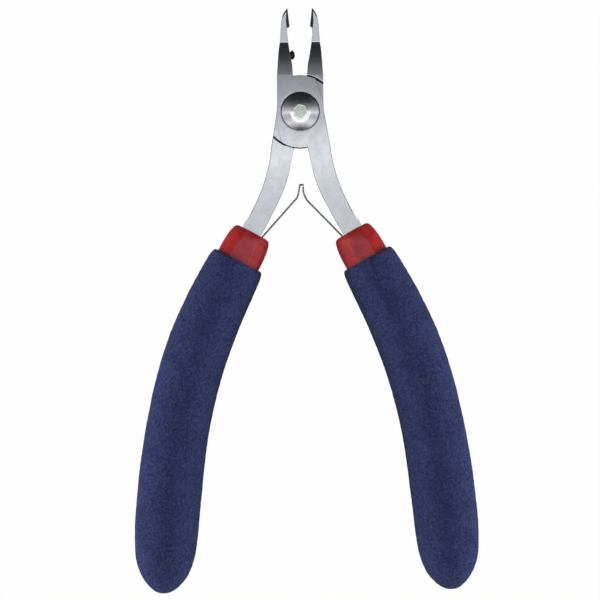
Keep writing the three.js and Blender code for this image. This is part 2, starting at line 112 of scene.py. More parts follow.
class Bench:
    """Modelling moves made with Blender's own operators on one piece at a time."""

    @staticmethod
    def pick(piece: Piece) -> None:
        """Makes a piece the only selected one, and the active one.

        Args:
            piece: the piece to pick.
        """
        bpy.ops.object.select_all(action="DESELECT")
        piece.select_set(True)
        bpy.context.view_layer.objects.active = piece

    @staticmethod
    def edit(piece: Piece, element: str = "VERT") -> None:
        """Opens a piece in edit mode with nothing selected.

        Args:
            piece: the piece to open.
            element: what selections work on, VERT, EDGE or FACE.
        """
        Bench.pick(piece)
        bpy.ops.object.mode_set(mode="EDIT")
        bpy.ops.mesh.select_mode(type=element)
        bpy.ops.mesh.select_all(action="DESELECT")

    @staticmethod
    def close(name: str) -> Piece:
        """Leaves edit mode, names the piece and its mesh, and returns the piece.

        Args:
            name: the name of the piece and of its mesh.

        Returns:
            The piece.
        """
        bpy.ops.object.mode_set(mode="OBJECT")
        piece = bpy.context.object
        piece.name = name
        piece.data.name = name
        return piece

    @staticmethod
    def select_edges(piece: Piece, wanted: Callable[[Vector, Vector], bool]) -> int:
        """Selects the edges whose two ends pass a test.

        Args:
            piece: a piece in edit mode with nothing selected.
            wanted: is given the two end points.

        Returns:
            How many edges it selected.
        """
        bpy.ops.object.mode_set(mode="OBJECT")
        points = [vertex.co.copy() for vertex in piece.data.vertices]
        count = 0
        for edge in piece.data.edges:
            edge.select = wanted(points[edge.vertices[0]], points[edge.vertices[1]])
            count += edge.select
        bpy.ops.object.mode_set(mode="EDIT")
        return count

    @staticmethod
    def select_points(piece: Piece, wanted: Callable[[Vector], bool]) -> None:
        """Selects the vertices of a piece in edit mode that pass a test.

        Args:
            piece: a piece in edit mode.
            wanted: is given each vertex's point.
        """
        bpy.ops.object.mode_set(mode="OBJECT")
        for vertex in piece.data.vertices:
            vertex.select = wanted(vertex.co)
        bpy.ops.object.mode_set(mode="EDIT")

    @staticmethod
    def modifier(piece: Piece, kind: str, **settings: object) -> None:
        """Adds one modifier to a piece with its settings, and applies it.

        Args:
            piece: the piece to change.
            kind: the modifier's type.
            settings: the modifier's own settings.
        """
        Bench.pick(piece)
        made = piece.modifiers.new(kind.lower(), kind)
        for key, value in settings.items():
            setattr(made, key, value)
        bpy.ops.object.modifier_apply(modifier=made.name)

    @staticmethod
    def subdivision(piece: Piece, levels: int) -> None:
        """Smooths a piece by a number of subdivision levels."""
        Bench.modifier(piece, "SUBSURF", levels=levels, render_levels=levels)

    @staticmethod
    def drill(
        piece: Piece, sides: int, radius: float, depth: float, height: float = 0.0, across: float = 0.0,
        turn: float = 0.0,
    ) -> None:
        """Cuts a round or many-sided hole along Z.

        Args:
            piece: the piece to cut.
            sides: how many sides the hole has.
            radius: the hole's radius at its corners.
            depth: the whole height of the cutting tool.
            height: the height of the tool's middle.
            across: where the hole lies along X.
            turn: degrees by which the hole is turned about Z.
        """
        bpy.ops.object.select_all(action="DESELECT")
        bpy.ops.mesh.primitive_cylinder_add(
            vertices=sides, radius=radius, depth=depth, location=(across, 0.0, height),
            rotation=(0.0, 0.0, math.radians(turn)))
        tool = bpy.context.object
        Bench.modifier(piece, "BOOLEAN", operation="DIFFERENCE", object=tool, solver="EXACT")
        bpy.data.objects.remove(tool, do_unlink=True)

    @staticmethod
    def face_outwards(piece: Piece) -> None:
        """Merges doubled vertices and turns every face outwards.

        Args:
            piece: a closed piece.
        """
        Bench.edit(piece)
        bpy.ops.mesh.select_all(action="SELECT")
        bpy.ops.mesh.remove_doubles(threshold=0.0005 * MM)
        bpy.ops.mesh.normals_make_consistent(inside=False)
        bpy.ops.object.mode_set(mode="OBJECT")

    @staticmethod
    def smooth(piece: Piece, degrees: float = 30.0) -> None:
        """Shades a piece smooth, with edges sharper than an angle left sharp."""
        Bench.pick(piece)
        bpy.ops.object.shade_smooth_by_angle(angle=math.radians(degrees))

    @staticmethod
    def settle(piece: Piece) -> None:
        """Moves a piece's place, turn and scale into its mesh."""
        Bench.pick(piece)
        bpy.ops.object.transform_apply(location=True, rotation=True, scale=True)

    @staticmethod
    def mirrored(piece: Piece, name: str) -> Piece:
        """Copies a piece to the other side of x = 0, with its own mesh.

        Args:
            piece: the piece to copy.
            name: the copy's name.

        Returns:
            The copy.
        """
        twin = piece.copy()
        twin.data = piece.data.copy()
        twin.name = name
        twin.data.name = name
        bpy.context.collection.objects.link(twin)
        twin.scale.x = -1.0
        Bench.settle(twin)
        Bench.face_outwards(twin)
        return twin

    @staticmethod
    def stack(
        name: str,
        rings: Sequence[Ring],
        section: Section = Section.ROUND,
        closing: Closing = Closing.FLAT_ENDS,
        sides: int = 64,
        corner: float = 0.55,
    ) -> Piece:
        """Extrudes a ring from height to height and resizes it at each, as on a lathe.

        Args:
            name: the piece's name.
            rings: the rings in order; each may be wider, deeper, higher or lower than the one before.
            section: a circle, or a square with cut corners that subdivision makes soft.
            closing: flat ends, ends drawn to a point, or the last ring bridged to the first.
            sides: sides of a round section.
            corner: how much of a soft square's half side its corner cuts away.

        Returns:
            The closed piece, at the origin.
        """
        bpy.ops.object.select_all(action="DESELECT")
        filled = closing is not Closing.JOINED
        if section is Section.ROUND:
            fill = "NGON" if filled else "NOTHING"
            bpy.ops.mesh.primitive_circle_add(vertices=sides, radius=1.0, fill_type=fill)
            bpy.ops.object.mode_set(mode="EDIT")
        else:
            bpy.ops.mesh.primitive_plane_add(size=2.0)
            bpy.ops.object.mode_set(mode="EDIT")
            bpy.ops.mesh.bevel(offset=corner, segments=1, affect="VERTICES")
            Bench.select_points(bpy.context.object, lambda p: p.x < 0 and abs(p.y) > 0.9)
            bpy.ops.mesh.bevel(offset=0.09, segments=1, affect="VERTICES")
            if not filled:
                bpy.ops.mesh.delete(type="ONLY_FACE")
        bpy.ops.mesh.select_all(action="SELECT")
        first = rings[0]
        bpy.ops.transform.resize(value=(first.width, first.depth, 1.0))
        bpy.ops.transform.translate(value=(first.shift, 0.0, first.height))
        for before, after in zip(rings, rings[1:]):
            step = (after.shift - before.shift, 0.0, after.height - before.height)
            bpy.ops.mesh.extrude_region_move(TRANSFORM_OT_translate={"value": step})
            bpy.ops.transform.resize(value=(after.width / before.width, after.depth / before.depth, 1.0))
        if closing is Closing.POLES:
            bpy.ops.mesh.merge(type="CENTER")
            first_end = first
            piece = bpy.context.object
            Bench.select_points(piece, lambda p: abs(p.z - first_end.height) < 1e-7
                                and math.hypot(p.x - first_end.shift, p.y) <= first_end.width * 1.01)
            bpy.ops.mesh.merge(type="CENTER")
        elif closing is Closing.JOINED:
            bpy.ops.mesh.select_all(action="DESELECT")
            bpy.ops.mesh.select_non_manifold()
            bpy.ops.mesh.bridge_edge_loops()
        piece = Bench.close(name)
        Bench.face_outwards(piece)
        return piece

    @staticmethod
    def copy_of_node(node: str, name: str) -> Piece:
        """Copies a frame node's mesh into a new free piece and merges its loose triangles into flat faces.

        Args:
            node: the frame node to copy.
            name: the new piece's name.

        Returns:
            The new piece, at the origin and on no body.
        """
        piece = bpy.data.objects.new(name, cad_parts[node].data.copy())
        piece.data.name = name
        piece.data.materials.clear()
        bpy.context.collection.objects.link(piece)
        Bench.edit(piece)
        bpy.ops.mesh.select_all(action="SELECT")
        bpy.ops.mesh.remove_doubles(threshold=0.002 * MM)
        bpy.ops.mesh.customdata_custom_splitnormals_clear()
        bpy.ops.mesh.dissolve_limited(angle_limit=math.radians(0.6))
        bpy.ops.mesh.select_all(action="DESELECT")
        bpy.ops.object.mode_set(mode="OBJECT")
        return piece


def mount(piece: Piece, body: str, node: str, slot: str, *finishes: Material) -> None:
    """Dresses a finished piece, lets it stand for its frame node, and fastens it to a body.

    Args:
        piece: the finished piece.
        body: the body it moves with.
        node: the frame node it stands for.
        slot: not used.
        finishes: its materials, in the order its faces name them.
    """
    picked = [face.material_index for face in piece.data.polygons]
    piece.data.materials.clear()
    for finish in finishes:
        piece.data.materials.append(finish)
    piece.data.polygons.foreach_set("material_index", picked)
    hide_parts(node)
    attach(piece, body)
    log.info("%s: %d faces on %s", piece.name, len(piece.data.polygons), body)


# --- finishes ---


def rgba(value: Colour | float) -> Band:
    """A colour or a grey as the four numbers that a node takes."""
    return (*value, 1.0) if isinstance(value, tuple) else (value, value, value, 1.0)


class Wiring:
    """A node tree, with short calls that add nodes and feed their inputs."""

    def __init__(self, tree: bpy.types.NodeTree) -> None:
        """Takes the node tree of a material or a world."""
        self.tree = tree

    def add(self, kind: str, inputs: dict[str | int, object] | None = None, **settings: object) -> Node:
        """Adds a shader node, changes its settings, and feeds its inputs.

        Args:
            kind: the node's type, without its common start.
            inputs: what goes into each input, an output of another node or a constant.
            settings: the node's own settings.

        Returns:
            The new node.
        """
        node = self.tree.nodes.new("ShaderNode" + kind)
        for key, value in settings.items():
            setattr(node, key, value)
        for key, value in (inputs or {}).items():
            if isinstance(value, Socket):
                self.tree.links.new(value, node.inputs[key])
            else:
                node.inputs[key].default_value = value
        return node

    def step(self, value: Socket, low: float, high: float, start: float = 0.0, end: float = 1.0) -> Socket:
        """Runs softly from a start to an end as a value goes from low to high, which may be the smaller."""
        ends = {"Value": value, "From Min": low, "From Max": high, "To Min": start, "To Max": end}
        return self.add("MapRange", ends, interpolation_type="SMOOTHSTEP").outputs["Result"]

    def join(self, operation: str, a: Socket, b: Socket | float) -> Socket:
        """Joins two numbers by an operation."""
        return self.add("Math", {0: a, 1: b}, operation=operation).outputs["Value"]


class NodeBoard(Wiring):
    """A material's node tree, with short calls for the nodes that the finishes share."""

    def __init__(self, name: str) -> None:
        """Starts a material with an empty principled shader.

        Args:
            name: the material's name.
        """
        self.material = bpy.data.materials.new(name)
        self.material.use_nodes = True
        super().__init__(self.material.node_tree)
        self.shader = self.tree.nodes["Principled BSDF"]
        self.place = self.add("TexCoord").outputs["Object"]

    def set(self, **values: object) -> None:
        """Sets constants on the shader, with underscores for the spaces in a socket's name.

        Args:
            values: a number or a colour for each named socket.
        """
        for key, value in values.items():
            socket = self.shader.inputs[key.replace("_", " ")]
            socket.default_value = rgba(value) if isinstance(value, tuple) else value

    def link(self, output: Socket, socket: str) -> None:
        """Links an output to one of the shader's sockets."""
        self.tree.links.new(output, self.shader.inputs[socket])

    def around_pivot(self, band: Band) -> tuple[Socket, Socket]:
        """Marks a ring about the pivot axis.

        Args:
            band: radii in millimetres where the ring starts, is full, is still full, and ends.

        Returns:
            The mark, 1 in the ring, and the height of the point.
        """
        split = self.add("SeparateXYZ", {"Vector": self.place}).outputs
        flat = self.add("CombineXYZ", {"X": split["X"], "Y": split["Y"]}).outputs["Vector"]
        radius = self.add("VectorMath", {0: flat}, operation="LENGTH").outputs["Value"]
        near, full, still, far = (edge * MM for edge in band)
        return self.join("MULTIPLY", self.step(radius, near, full), self.step(radius, far, still)), split["Z"]

    def stretched(self, scale: Triple) -> Socket:
        """The place on the piece, scaled along each axis."""
        inputs = {"Scale": tuple(1.0 / s for s in scale), "Vector": self.place}
        return self.add("Mapping", inputs, vector_type="TEXTURE").outputs["Vector"]

    def noise(
        self, grain: float, detail: float = 3.0, vector: Socket | None = None, roughness: float = 0.55
    ) -> Socket:
        """Noise whose grains are about as large as given, in metres."""
        inputs = {"Scale": 1.0 / grain, "Detail": detail, "Roughness": roughness}
        return self.add("TexNoise", inputs | {"Vector": vector or self.place}).outputs["Fac"]

    def cells(self, size: float) -> Socket:
        """Distance to the middle of the nearest cell of a given size in metres."""
        return self.add("TexVoronoi", {"Scale": 1.0 / size, "Vector": self.place}).outputs["Distance"]

    def ramp(
        self, factor: Socket, low: float, high: float, dark: Colour | float, light: Colour | float
    ) -> Socket:
        """Runs from one colour or grey to another as the factor goes from low to high.

        Args:
            factor: the number that picks the tone.
            low: the factor at which the tone starts to change.
            high: the factor at which it has changed.
            dark: the tone at and below the low factor.
            light: the tone at and above the high factor.

        Returns:
            The tone.
        """
        node = self.add("ValToRGB", {"Fac": factor})
        for end, place, value in zip(node.color_ramp.elements, (low, high), (dark, light)):
            end.position, end.color = place, rgba(value)
        return node.outputs["Color"]

    def plain(self, value: Colour | float) -> Socket:
        """One even colour or grey.

        Args:
            value: the colour or the grey.

        Returns:
            The colour's output.
        """
        colour = self.add("RGB").outputs["Color"]
        colour.default_value = rgba(value)
        return colour

    def blend(self, factor: Socket, a: Socket, b: Socket) -> Socket:
        """Mixes two colours by a factor."""
        inputs = {"Factor": factor, "A": a, "B": b}
        return self.add("Mix", inputs, data_type="RGBA").outputs["Result"]

    def sum(self, *parts: tuple[Socket, float]) -> Socket:
        """Adds heights, each with its own weight.

        Args:
            parts: pairs of a height and its weight.

        Returns:
            The weighted sum.
        """
        total: Socket | float = 0.0
        for part, weight in parts:
            inputs = {0: part, 1: weight, 2: total}
            total = self.add("Math", inputs, operation="MULTIPLY_ADD").outputs["Value"]
        return total

    def bump(self, height: Socket, depth: float) -> None:
        """Gives the shader a bump of a given depth in metres."""
        node = self.add("Bump", {"Strength": 1.0, "Distance": depth, "Height": height})
        self.link(node.outputs["Normal"], "Normal")


@dataclass(frozen=True)
class GroundSteel:
    """Satin steel, ground along its length, with faint clouds, fine lines and a near-black painted shade in
    the joint's gap.
    """

    name: str = "ground_steel"
    dull: Colour = (0.62, 0.635, 0.67)
    bright: Colour = (0.74, 0.765, 0.81)
    # The colour of the painted shade in the joint's gap; its ring, its top and its roughness are set further
    # down.
    painted_shade_tone: Colour = (0.010, 0.010, 0.011)
    roughness: Pair = (0.17, 0.24)
    line: float = 0.09 * MM
    run: float = 30.0
    depth: float = 0.003 * MM
    gap: Band = (9.0, 9.3, 9.5, 9.62)
    gap_top: float = 5.9 * MM
    gap_roughness: float = 0.7

    def in_gap(self, board: NodeBoard) -> Socket:
        """Marks the painted shade: 1 below the front face in the narrow ring round the lap joint, and 0
        elsewhere.
        """
        around, height = board.around_pivot(self.gap)
        return board.join("MULTIPLY", around, board.step(height, self.gap_top, self.gap_top - 0.1 * MM))

    def material(self) -> Material:
        """Makes the finish.

        Returns:
            The finished material.
        """
        board = NodeBoard(self.name)
        lines = board.noise(self.line, 2.0, board.stretched((1.0, 1.0 / self.run, 1.0)))
        clouds = board.noise(2.4 * MM, 4.0)
        speckle = board.noise(0.35 * MM, 2.0)
        mixed = board.sum((lines, 0.35), (clouds, 0.45), (speckle, 0.2))
        unshaded = board.ramp(mixed, 0.36, 0.64, self.dull, self.bright)
        # Painted shade: the gap's ring is painted near black and rough.
        gap = self.in_gap(board)
        board.link(board.blend(gap, unshaded, board.plain(self.painted_shade_tone)), "Base Color")
        polish = board.ramp(mixed, 0.3, 0.7, *self.roughness[::-1])
        board.link(board.blend(gap, polish, board.plain(self.gap_roughness)), "Roughness")
        board.bump(board.sum((lines, 1.0), (speckle, 0.5)), self.depth)
        board.set(Metallic=1.0)
        return board.material


@dataclass(frozen=True)
class TurnedSteel:
    """Bright steel off a lathe, with rings about the pivot axis, a painted shade round the screw head's rim
    and a light green tint in its socket.
    """

    name: str = "turned_steel"
    dull: Colour = (0.66, 0.66, 0.67)
    bright: Colour = (0.86, 0.86, 0.86)
    roughness: Pair = (0.14, 0.22)
    pitch: float = 0.12 * MM
    # Ring and colour of the painted shade round the head's rim, on its edge and on the washer beside it.
    rim: Band = (4.66, 4.78, 5.3, 5.5)
    painted_shade_tone: Colour = (0.17, 0.17, 0.175)
    # Ring and colour of the light green tint in the hex socket.
    well: Band = (-2.0, -1.0, 1.5, 1.75)
    socket_green: Colour = (0.74, 0.85, 0.74)

    def material(self) -> Material:
        """Makes the finish.

        Returns:
            The finished material.
        """
        board = NodeBoard(self.name)
        turning = {"Scale": 0.05 / self.pitch, "Distortion": 1.4, "Detail": 2.0, "Vector": board.place}
        lines = board.add("TexWave", turning, wave_type="RINGS", rings_direction="Z").outputs["Fac"]
        clouds = board.noise(1.1 * MM, 4.0)
        mixed = board.sum((lines, 0.08), (clouds, 0.92))
        # Painted shade: a grey ring on the head's rim and on the washer beside it.
        rim, _ = board.around_pivot(self.rim)
        # A light green tint in the hex socket.
        well, height = board.around_pivot(self.well)
        well = board.join("MULTIPLY", well, board.step(height, 4.0 * MM, 4.2 * MM))
        unshaded = board.ramp(mixed, 0.3, 0.7, self.dull, self.bright)
        tinted = board.blend(well, unshaded, board.plain(self.socket_green))
        board.link(board.blend(rim, tinted, board.plain(self.painted_shade_tone)), "Base Color")
        board.link(board.ramp(clouds, 0.35, 0.65, *self.roughness), "Roughness")
        board.bump(lines, 0.0003 * MM)
        board.set(Metallic=1.0)
        return board.material


@dataclass(frozen=True)
class BlackOxide:
    """Blackened steel with a slight oily shine."""

    name: str = "black_oxide"
    deep: Colour = (0.006, 0.006, 0.007)
    worn: Colour = (0.03, 0.03, 0.032)

    def material(self) -> Material:
        """Makes the finish.

        Returns:
            The finished material.
        """
        board = NodeBoard(self.name)
        clouds = board.noise(0.5 * MM, 4.0)
        board.link(board.ramp(clouds, 0.4, 0.75, self.deep, self.worn), "Base Color")
        board.link(board.ramp(clouds, 0.3, 0.7, 0.22, 0.36), "Roughness")
        board.bump(clouds, 0.01 * MM)
        board.set(Metallic=0.35)
        return board.material


@dataclass(frozen=True)
class SpringSteel:
    """Rolled spring strip, grey with faint lines along the strip."""

    name: str = "spring_strip"
    dull: Colour = (0.13, 0.125, 0.12)
    bright: Colour = (0.25, 0.245, 0.24)

    def material(self) -> Material:
        """Makes the finish.

        Returns:
            The finished material.
        """
        board = NodeBoard(self.name)
        lines = board.noise(0.12 * MM, 3.0, board.stretched((0.2, 0.2, 1.0)))
        clouds = board.noise(1.6 * MM, 3.0)
        mixed = board.sum((lines, 0.5), (clouds, 0.5))
        board.link(board.ramp(mixed, 0.35, 0.65, self.dull, self.bright), "Base Color")
        board.link(board.ramp(mixed, 0.3, 0.7, 0.4, 0.26), "Roughness")
        board.bump(lines, 0.003 * MM)
        board.set(Metallic=1.0)
        return board.material


@dataclass(frozen=True)
class GlossVinyl:
    """Dipped vinyl: deep even colour, a wet gloss and a slight orange peel."""

    name: str = "red_vinyl"
    deep: Colour = (0.36, 0.018, 0.020)
    lit: Colour = (0.48, 0.032, 0.034)

    def material(self) -> Material:
        """Makes the finish.

        Returns:
            The finished material.
        """
        board = NodeBoard(self.name)
        clouds = board.noise(3.0 * MM, 3.0)
        peel = board.noise(0.7 * MM, 1.0)
        specks = board.noise(0.18 * MM, 2.0)
        board.link(board.ramp(clouds, 0.35, 0.65, self.deep, self.lit), "Base Color")
        board.link(board.ramp(specks, 0.3, 0.75, 0.2, 0.3), "Roughness")
        board.bump(board.sum((peel, 1.0), (clouds, 2.0)), 0.02 * MM)
        board.set(Coat_Weight=0.3, Coat_Roughness=0.08, Specular_IOR_Level=0.3)
        return board.material


@dataclass(frozen=True)
class CellFoam:
    """Closed-cell foam with a mottled, open skin."""

    name: str = "navy_foam"
    pit: Colour = (0.017, 0.0235, 0.074)
    skin: Colour = (0.037, 0.048, 0.139)
    fleck: Colour = (0.067, 0.083, 0.20)

    def material(self) -> Material:
        """Makes the finish.

        Returns:
            The finished material.
        """
        board = NodeBoard(self.name)
        mottle = board.noise(0.75 * MM, 3.0, roughness=0.6)
        patches = board.noise(4.5 * MM, 2.0)
        cells = board.cells(0.5 * MM)
        body = board.sum((mottle, 0.72), (patches, 0.28))
        ground = board.ramp(body, 0.38, 0.62, self.pit, self.skin)
        flecks = board.ramp(board.noise(0.4 * MM, 2.0), 0.58, 0.74, 0.0, 1.0)
        board.link(board.blend(flecks, ground, board.plain(self.fleck)), "Base Color")
        board.link(board.ramp(mottle, 0.3, 0.7, 0.96, 0.82), "Roughness")
        board.bump(board.sum((mottle, 1.0), (cells, 0.7)), 0.16 * MM)
        board.set(Sheen_Weight=0.05, Sheen_Roughness=0.6, Sheen_Tint=(0.6, 0.68, 1.0),
                  Specular_IOR_Level=0.25)
        return board.material


@dataclass(frozen=True)
class Finishes:
    """Every material of the cutter, made once."""

    steel: Material = field(default_factory=GroundSteel().material)
    # Near-black steel that paints shade and dark reflection on the head's bevels and the arms' outer edges.
    shade_paint: Material = field(default_factory=GroundSteel(
        "honed_steel", (0.085, 0.087, 0.082), (0.14, 0.142, 0.135), roughness=(0.3, 0.38)).material)
    turned: Material = field(default_factory=TurnedSteel().material)
    black: Material = field(default_factory=BlackOxide().material)
    spring: Material = field(default_factory=SpringSteel().material)
    vinyl: Material = field(default_factory=GlossVinyl().material)
    foam: Material = field(default_factory=CellFoam().material)


# --- the handle's line ---


def along_heading(degrees: float) -> Vector:
    """A unit step down the tool, turned outwards to the right by an angle."""
    angle = math.radians(degrees)
    return Vector((math.sin(angle), -math.cos(angle), 0.0))


@dataclass(frozen=True)
class HandleLine:
    """The right handle's middle line, from the sleeve's mouth to the foam's closed end."""

    mouth: Vector = field(default_factory=lambda: Vector((12.7, -30.9, 3.15)) * MM)
    end: Vector = field(default_factory=lambda: Vector((37.1, -123.5, 3.15)) * MM)
    mouth_heading: float = 28.5
    end_heading: float = 3.0
    mouth_pull: float = 32.0 * MM
    end_pull: float = 54.0 * MM

    def curve(self) -> Piece:
        """Draws the line as a curve that straight pieces are bent onto.

        Returns:
            The drawn curve.
        """
        bpy.ops.curve.primitive_bezier_curve_add()
        drawn = bpy.context.object
        drawn.name = "handle_line"
        start, stop = drawn.data.splines[0].bezier_points
        out = along_heading(self.mouth_heading) * self.mouth_pull
        back = along_heading(self.end_heading) * self.end_pull
        for point, place, pull in ((start, self.mouth, out), (stop, self.end, back)):
            point.handle_left_type = "FREE"
            point.handle_right_type = "FREE"
            point.co = place
            point.handle_left = place - pull
            point.handle_right = place + pull
        drawn.data.resolution_u = 64
        return drawn

    def length(self, part: float = 1.0, steps: int = 400) -> float:
        """The line's length from the mouth to a curve parameter, from short straight steps."""
        points = [self.at(part * i / steps) for i in range(steps + 1)]
        return sum((b - a).length for a, b in zip(points, points[1:]))

    def parameter(self, along: float) -> float:
        """The curve parameter at a distance from the mouth, found by halving.

        Args:
            along: the distance in metres.

        Returns:
            The parameter, from 0 to 1.
        """
        low, high = 0.0, 1.0
        for _ in range(20):
            middle = (low + high) / 2
            low, high = (middle, high) if self.length(middle, 200) < along else (low, middle)
        return (low + high) / 2

    def at(self, part: float) -> Vector:
        """A point of the line by its curve parameter, from 0 to 1.

        Args:
            part: the curve parameter.

        Returns:
            The point.
        """
        a = self.mouth
        b = a + along_heading(self.mouth_heading) * self.mouth_pull
        d = self.end
        c = d - along_heading(self.end_heading) * self.end_pull
        rest = 1.0 - part
        return a * rest**3 + b * 3 * rest**2 * part + c * 3 * rest * part**2 + d * part**3

    def bend(self, piece: Piece) -> None:
        """Bends a straight piece onto the line: Z runs along it, X outwards and Y up.

        Args:
            piece: a piece that stands along Z from the origin.
        """
        drawn = self.curve()
        Bench.modifier(piece, "CURVE", object=drawn, deform_axis="POS_Z")
        bpy.data.objects.remove(drawn, do_unlink=True)


# --- steel halves ---


@dataclass
class SteelHalves:
    """The two lap-jointed halves, with ground faces, rounded inner arms and eased edges."""

    finish: Material
    # The near-black steel of the painted shade on the head's bevels and the arms' outer edges.
    shade_paint: Material
    jaw_opening: float = 6.8
    jaw_lean: float = math.tan(math.radians(0.5))
    blade_heel: float = 21.6 * MM
    fold: Pair = (17.95 * MM, 3.5 * MM)
    head_slope: float = 0.52
    arm_rounding: float = 1.05 * MM
    head_chamfer: float = 0.42 * MM
    easing: float = 0.2 * MM
    head_easing_share: float = 0.35
    clear_corner: float = math.radians(28)
    head_start: float = 20.5 * MM
    inner_line: Points = (
        (1.8, -9.3), (2.5, -12.2), (3.1, -15.4), (4.1, -18.7), (5.45, -21.9), (7.5, -25.9), (9.0, -28.8),
        (10.3, -31.2))
    inner_reach: float = 0.35
    head_half_width: float = 4.25 * MM
    face_reach: float = 0.08 * MM
    recess_radius: float = 6.2 * MM
    recess_floor: float = 5.5 * MM
    crowded_corner: Triple = (3.4 * MM, -13.0 * MM, -8.4 * MM)
    mouth_margin: float = 2.2 * MM
    joint_side: Pair = (7.5 * MM, 8.0 * MM)

    def is_inner_edge(self, side: float, a: Vector, b: Vector) -> bool:
        """Whether an edge runs along an arm's inner side, which is rounded.

        Args:
            side: 1 for the right arm, -1 for the left.
            a: one end of the edge.
            b: its other end.

        Returns:
            True for the edges to round.
        """
        for point in (a, b):
            x, y = point.x * side / MM, point.y / MM
            if not -31.0 < y < -9.2:
                return False
            for (x0, y0), (x1, y1) in zip(self.inner_line, self.inner_line[1:]):
                if y1 <= y <= y0 and abs(x - x0 - (x1 - x0) * (y - y0) / (y1 - y0)) > self.inner_reach:
                    return False
        flat_enough = abs(a.z - b.z) < 0.3 * MM
        near_face = min(a.z, b.z) > 5.2 * MM or max(a.z, b.z) < 1.1 * MM
        return flat_enough and near_face

    def is_head_edge(self, a: Vector, b: Vector) -> bool:
        """Whether an edge runs up the outer side of the cutting head's front face.

        Args:
            a: one end of the edge.
            b: its other end.

        Returns:
            True for the edges to chamfer.
        """
        fold_y, fold_z = self.fold
        for point in (a, b):
            front = fold_z + (point.y - fold_y) * self.head_slope
            outer = abs(point.x - self.jaw_lean * point.y) > self.head_half_width
            if point.y < fold_y - 0.01 * MM or abs(point.z - front) > self.face_reach or not outer:
                return False
        return abs(a.y - b.y) > 0.4 * MM

    def is_blade(self, point: Vector) -> bool:
        """Whether a point is on a cutting edge or at a tip, which stay sharp.

        Args:
            point: a point of a half.

        Returns:
            True where no easing may reach.
        """
        middle = self.jaw_lean * point.y
        radial = abs(point.x - middle) - point.y * math.tan(math.radians(self.jaw_opening))
        return point.y > self.blade_heel and abs(radial) < 0.06 * MM

    def refined(self, node: str, arm_side: float) -> Piece:
        """Copies a half, rounds its arm's inner edges, chamfers its head and eases the other edges.

        Args:
            node: the half's frame node.
            arm_side: 1 when its arm is on the right, -1 on the left.

        Returns:
            The finished half.
        """
        piece = Bench.copy_of_node(node, node + "_steel")
        Bench.edit(piece, "EDGE")
        rounded = Bench.select_edges(piece, lambda a, b: self.is_inner_edge(arm_side, a, b))
        bpy.ops.mesh.bevel(offset=self.arm_rounding, segments=6, clamp_overlap=True)
        bpy.ops.mesh.select_all(action="DESELECT")
        chamfered = Bench.select_edges(piece, self.is_head_edge)
        bpy.ops.mesh.bevel(offset=self.head_chamfer, segments=3, clamp_overlap=True)
        bpy.ops.object.mode_set(mode="OBJECT")
        log.info("%s: %d arm edges rounded, %d head edges chamfered", node, rounded, chamfered)
        self.mark_eased_edges(piece)
        Bench.modifier(piece, "BEVEL", width=self.easing, segments=3, limit_method="WEIGHT",
                       use_clamp_overlap=False, miter_outer="MITER_ARC")
        Bench.smooth(piece, 32.0)
        self.paint_shade(piece)
        Bench.modifier(piece, "WEIGHTED_NORMAL", keep_sharp=True, weight=80)
        return piece

    def is_crowded(self, point: Vector) -> bool:
        """Whether a point is at the arm's step into the sleeve or at the joint's inner corner.

        Args:
            point: a point of a half.

        Returns:
            True where an edge stays plain.
        """
        line = HandleLine()
        side = abs(point.x)
        past_mouth = (Vector((side, point.y, 0.0)) - line.mouth).xy.dot(along_heading(line.mouth_heading).xy)
        half_width, low, high = self.crowded_corner
        return (side < half_width and low < point.y < high) or past_mouth > -self.mouth_margin

    def mark_eased_edges(self, piece: Piece) -> None:
        """Gives full bevel weight to the clear corners of a half, and none to its blade.

        Args:
            piece: a half whose arm and head edges are done.
        """
        mesh = piece.data
        faces: dict[int, list[Vector]] = {}
        for face in mesh.polygons:
            for loop in face.loop_indices:
                faces.setdefault(mesh.loops[loop].edge_index, []).append(face.normal.copy())
        weights = mesh.attributes.new("bevel_weight_edge", "FLOAT", "EDGE")
        for edge in mesh.edges:
            normals = faces.get(edge.index, [])
            ends = [mesh.vertices[i].co for i in edge.vertices]
            sharp = len(normals) == 2 and normals[0].angle(normals[1], 0.0) > self.clear_corner
            blade = any(self.is_blade(end) for end in ends)
            head = max(end.y for end in ends) > self.head_start
            hidden = any(self.is_crowded(end) for end in ends)
            recess = all(end.xy.length < self.recess_radius and end.z > self.recess_floor for end in ends)
            eased = sharp and not (blade or hidden or recess)
            weights.data[edge.index].value = (self.head_easing_share if head else 1.0) if eased else 0.0

    def paint_shade(self, piece: Piece) -> None:
        """Paints shade and dark reflection with the near-black steel on the cutting bevel, its heel, the end
        facet and the eased outer edges.

        Args:
            piece: a half with its edges eased.
        """
        half_width, top = self.joint_side
        for face in piece.data.polygons:
            normal, centre = face.normal, face.center
            sideways = math.hypot(normal.x, max(normal.y, 0.0)) > 0.5
            shade_paint = centre.y > self.head_start + 0.1 * MM and sideways and normal.z > 0.25
            outer = centre.y < top and abs(centre.x) > half_width and normal.x * centre.x > 0.0
            # Painted shade: the head's bevels and end facet, and the arms' eased outer edges, take the
            # near-black steel.
            face.material_index = int(shade_paint or (outer and 0.15 < normal.z < 0.93))

    def build(self) -> None:
        """Makes both halves and fastens them to their bodies."""
        for node, arm_side in (("front_half", 1.0), ("rear_half", -1.0)):
            piece = self.refined(node, arm_side)
            mount(piece, f"{node}_body", node, "tool_steel", self.finish, self.shade_paint)


# --- pivot ---


